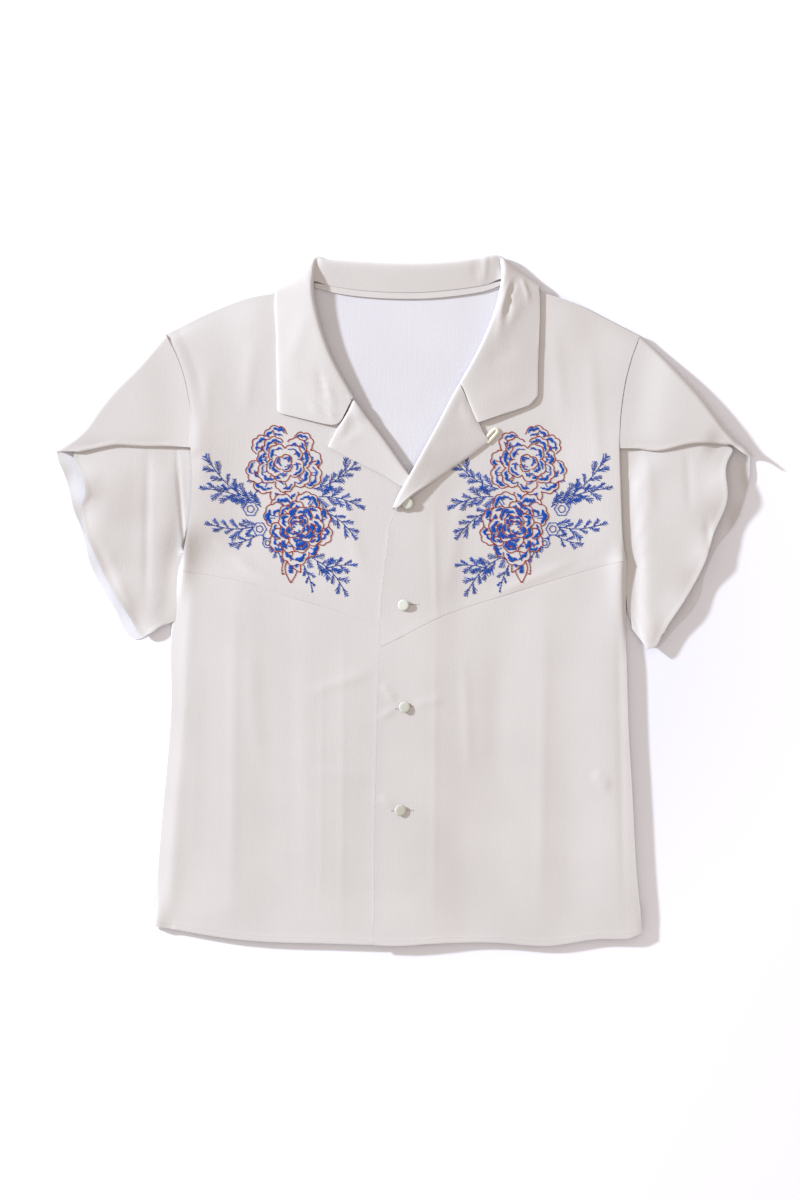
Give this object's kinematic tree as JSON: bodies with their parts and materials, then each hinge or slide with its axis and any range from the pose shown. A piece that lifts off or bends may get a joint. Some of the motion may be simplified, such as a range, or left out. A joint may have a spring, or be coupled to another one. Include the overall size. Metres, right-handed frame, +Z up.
{
  "type": "embroidered camp-collar blouse, laid flat",
  "caption": "Short-sleeved camp-collar blouse laid flat, with a buttoned front, yokes with stitched flower sprays and overlapping petal sleeves",
  "frame": {"origin": "on the surface the blouse lies on, under the middle of its outline", "axes": "+X to the viewer's right across the front, +Y towards the collar, +Z up from the surface"},
  "size_m": [0.6964, 0.6912, 0.0119],
  "materials": {
    "crepe": "off-white viscose crepe, matt with a faint sheen",
    "back_crepe": "the same crepe in one layer, cooler white",
    "trim": "cream satin-faced bias binding and rouleau",
    "button": "flat covered button in pale crepe",
    "red_thread": "red-brown rayon embroidery thread",
    "blue_thread": "blue rayon embroidery thread",
    "navy_thread": "navy rayon embroidery thread",
    "sewing_thread": "off-white sewing thread"
  },
  "bodies": {
    "root": {"back": "back_crepe", "left_front_yoke": "crepe", "left_front_lower": "crepe", "right_front_yoke": "crepe", "right_front_lower": "crepe", "left_sleeve_over_petal": "crepe", "left_sleeve_front_petal": "crepe", "right_sleeve_over_petal": "crepe", "right_sleeve_front_petal": "crepe", "collar": "crepe", "left_lapel": "crepe", "right_lapel": "crepe", "neck_tape": "trim", "top_button": "button", "upper_button": "button", "middle_button": "button", "lower_button": "button", "lapel_loop": "trim"}
  },
  "joints": []
}
